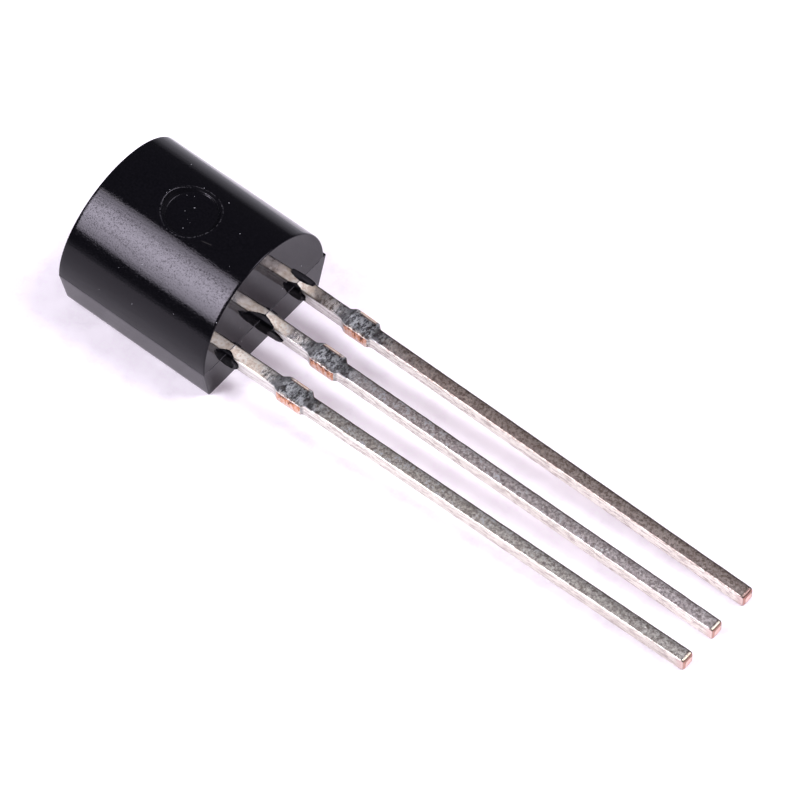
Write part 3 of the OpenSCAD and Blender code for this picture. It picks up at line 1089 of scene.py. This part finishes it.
FLOOR_TILT = atan(STRIP_BOTTOM / LEAD_LENGTH)  # so that the tips touch the floor
FLOOR_SIZE = 1200
FLOOR_GLOW = (0.19, 0.15, 0.19, 1)
LIGHT_DISTANCE = 250
LIGHT_COLOUR = (1.0, 0.96, 1.08)
PROFILE_AXIS = 1  # Y, up the lamp's own face
ROOM_DIM = (0.24, 0.22, 0.25)
ROOM_BRIGHT = (1, 1, 1)
# The dark tent's opening lies round the object, with more room in front. Its middle is given on
# the floor, its wall as radius and height, and its glow by the distance from the middle.
TENT_CENTRE = (6.8 - end_x(0), -12)
TENT_PROFILE = [(20, 0.02), (26, 0.5), (34, 1.1), (48, 2.0), (80, 4.0), (200, 11), (600, 33),
                (590, 120), (500, 330), (330, 500), (120, 590), (0, 605)]
TENT_SIDES = 48
TENT_GLOW = [(20, 0.95), (25, 0.66), (32, 0.54), (42, 0.32), (80, 0.15), (200, 0.065)]
TENT_TINT = (1, 0.97, 1.1)


def floor_material():
    """White paper; what the camera, a gloss or a glass sees of it glows up to white."""
    material, tree = new_material("white_paper")
    fibres = millimetres(tree).noise(1.6, 5, 0.7)
    paper = fibres.ramp((0.3, (0.76, 0.76, 0.76)), (0.7, (0.93, 0.93, 0.93)))
    return finish(material, Base_Color=paper, Roughness=1, Specular_IOR_Level=0,
                  Emission_Color=FLOOR_GLOW, Emission_Strength=seen_directly(tree))


def on_floor(name, points, faces, material):
    """Stage piece drawn in the floor's own frame, under the case's lower edge and the tips."""
    made = new_mesh_object(name, points, faces)
    set_materials(made, material)
    made.location = (end_x(0) * MM, 0, 0)
    made.rotation_euler = (0, -FLOOR_TILT, 0)
    return made


def add_floor():
    half = FLOOR_SIZE / 2
    corners = [(-half, -half, 0), (half, -half, 0), (half, half, 0), (-half, half, 0)]
    on_floor("floor", corners, [(0, 1, 2, 3)], floor_material())


def tent_material():
    """Glowing shell seen only in glosses: its glow, brighter near the opening, is a painted
    reflection of the paper fading with distance.
    """
    material, tree = new_material("tent_reflection_glow")
    centre = [TENT_CENTRE[0] * MM, TENT_CENTRE[1] * MM, 0]
    far = TENT_GLOW[-1][0]
    away = surface(tree, "Object").vector("SUBTRACT", centre).length()
    stops = [(r / far, tuple(glow * part for part in TENT_TINT)) for r, glow in TENT_GLOW]
    glow = add_node(tree, "Emission", {"Color": (away / (far * MM)).ramp(*stops), "Strength": 1})
    put(Value(glow), tree.nodes["Material Output"].inputs["Surface"])
    material.cycles.emission_sampling = "NONE"
    return material


def add_tent():
    """Dark tent that the glossy surfaces show; the lamps hang inside it."""
    rings = [[(x, y, z) for x, y in arc(TENT_CENTRE, r, 0, tau, TENT_SIDES)[:-1]]
             for r, z in reversed(TENT_PROFILE)]
    points, faces = wrap_rings(rings)
    tent = on_floor("tent", points, faces, tent_material())
    tent.visible_camera = False
    tent.visible_diffuse = False
    tent.visible_shadow = False


def add_softbox(name, azimuth, elevation, roll, width, height, strength, profile):
    """Soft lamp aimed at the object; profile holds its relative light from bottom to top."""
    data = bpy.data.lights.new(name, "AREA")
    data.shape = "RECTANGLE"
    data.size = 2 * LIGHT_DISTANCE * tan(width / 2) * MM
    data.size_y = 2 * LIGHT_DISTANCE * tan(height / 2) * MM
    data.energy = strength * pi * data.size * data.size_y
    data.color = LIGHT_COLOUR
    data.use_nodes = True
    tree = data.node_tree
    place = Value(add_node(tree, "NewGeometry"), "Parametric")
    level = place.axes()[PROFILE_AXIS]
    put(level.ramp(*profile), tree.nodes["Emission"].inputs["Strength"])
    lamp = add_object(name, data)
    away = direction(azimuth, elevation)
    lamp.location = away * LIGHT_DISTANCE * MM
    lamp.rotation_mode = "QUATERNION"
    lamp.rotation_quaternion = away.to_track_quat("Z", "Y") @ Quaternion((0, 0, 1), roll)
    lamp.visible_camera = False


def add_room():
    """Outside the tent: white where the camera, a gloss or a glass looks, else dim."""
    world = bpy.data.worlds.new("room")
    world.use_nodes = True
    tree = world.node_tree
    colour = seen_directly(tree).ramp((0, ROOM_DIM), (1, ROOM_BRIGHT))
    put(colour, tree.nodes["Background"].inputs["Color"])
    bpy.context.scene.world = world


# ---- Camera ----

IMAGE_SIZE = 800  # pixels, square
SENSOR = 36.0
VIEW_AZIMUTH = radians(-51.9)
VIEW_ELEVATION = radians(56.85)
VIEW_ROLL = radians(1.35)
VIEW_DISTANCE = 180
CLIP_START = 10
PIXELS_PER_MM = 41.84  # where the middle lead leaves the case
EXIT_PIXEL = (265.6, 314.7)  # and where that point shows


def add_camera():
    """Camera that shows the middle lead's exit at EXIT_PIXEL, without shifting its lens."""
    back = direction(VIEW_AZIMUTH, VIEW_ELEVATION)
    level = Vector((0, 0, 1)).cross(back).normalized()
    upright = back.cross(level)
    right = cos(VIEW_ROLL) * level + sin(VIEW_ROLL) * upright
    up = cos(VIEW_ROLL) * upright - sin(VIEW_ROLL) * level
    shift_right = (EXIT_PIXEL[0] - IMAGE_SIZE / 2) / PIXELS_PER_MM
    shift_up = (IMAGE_SIZE / 2 - EXIT_PIXEL[1]) / PIXELS_PER_MM
    data = bpy.data.cameras.new("camera")
    data.sensor_width = SENSOR
    data.lens = SENSOR * VIEW_DISTANCE * PIXELS_PER_MM / IMAGE_SIZE
    data.clip_start = CLIP_START * MM
    camera = add_object("camera", data)
    exit_point = Vector((END_X, 0, PARTING_Z))
    place = exit_point + VIEW_DISTANCE * back - shift_right * right - shift_up * up
    camera.matrix_world = (Matrix.Translation(place * MM)
                           @ Matrix((right, up, back)).transposed().to_4x4())
    bpy.context.scene.camera = camera


# ---- Assembly ----

def dress_leads():
    """The tinned leads: each bar outside the case, joined to the CAD lead's part inside it."""
    tin = tin_material()
    leads = []
    for lane, node in LEAD_NODES.items():
        lead = build_bar(lane)
        combine(lead, [welded_copy(node, CAD_LEAD_END)], "UNION")
        shade_smooth(lead)
        set_materials(lead, tin)
        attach(lead, "root")
        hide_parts(node)
        leads.append(lead)
    return leads


def dress_case(leads):
    case = build_case(leads)
    set_materials(case, epoxy_material(), dust_material())
    add_dust(case)
    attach(case, "root")
    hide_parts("case")


def dress_inner_pieces():
    gold = inner_material(
        "gold_wire", (0.80, 0.52, 0.18), (0.95, 0.70, 0.32), metallic=1, roughness=0.25, scale=60)
    silicon = inner_material(
        "silicon", (0.10, 0.11, 0.15), (0.16, 0.17, 0.22), metallic=0.6, roughness=0.2, scale=12)
    solder = inner_material(
        "die_solder", (0.42, 0.43, 0.46), (0.62, 0.63, 0.66), metallic=1, roughness=0.45, scale=20)
    finishes = {"die": silicon, "die_attach": solder, "emitter_wire": gold, "base_wire": gold}
    for node, material in finishes.items():
        for material_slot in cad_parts[node].material_slots:
            material_slot.material = material


dress_case(dress_leads())
dress_inner_pieces()
add_floor()
add_tent()
add_softbox("left_softbox", azimuth=radians(-120), elevation=radians(43), roll=radians(22),
            width=radians(10), height=radians(56), strength=25,
            profile=[(0, 0.15), (0.17, 0.55), (0.5, 1), (0.7, 0.9), (1, 0.15)])
add_softbox("right_softbox", azimuth=radians(46), elevation=radians(54), roll=0,
            width=radians(28), height=radians(32), strength=12.5,
            profile=[(0, 0.6), (0.3, 1), (0.8, 1), (1, 0.7)])
add_room()
add_camera()
bpy.context.scene.view_settings.view_transform = "Standard"
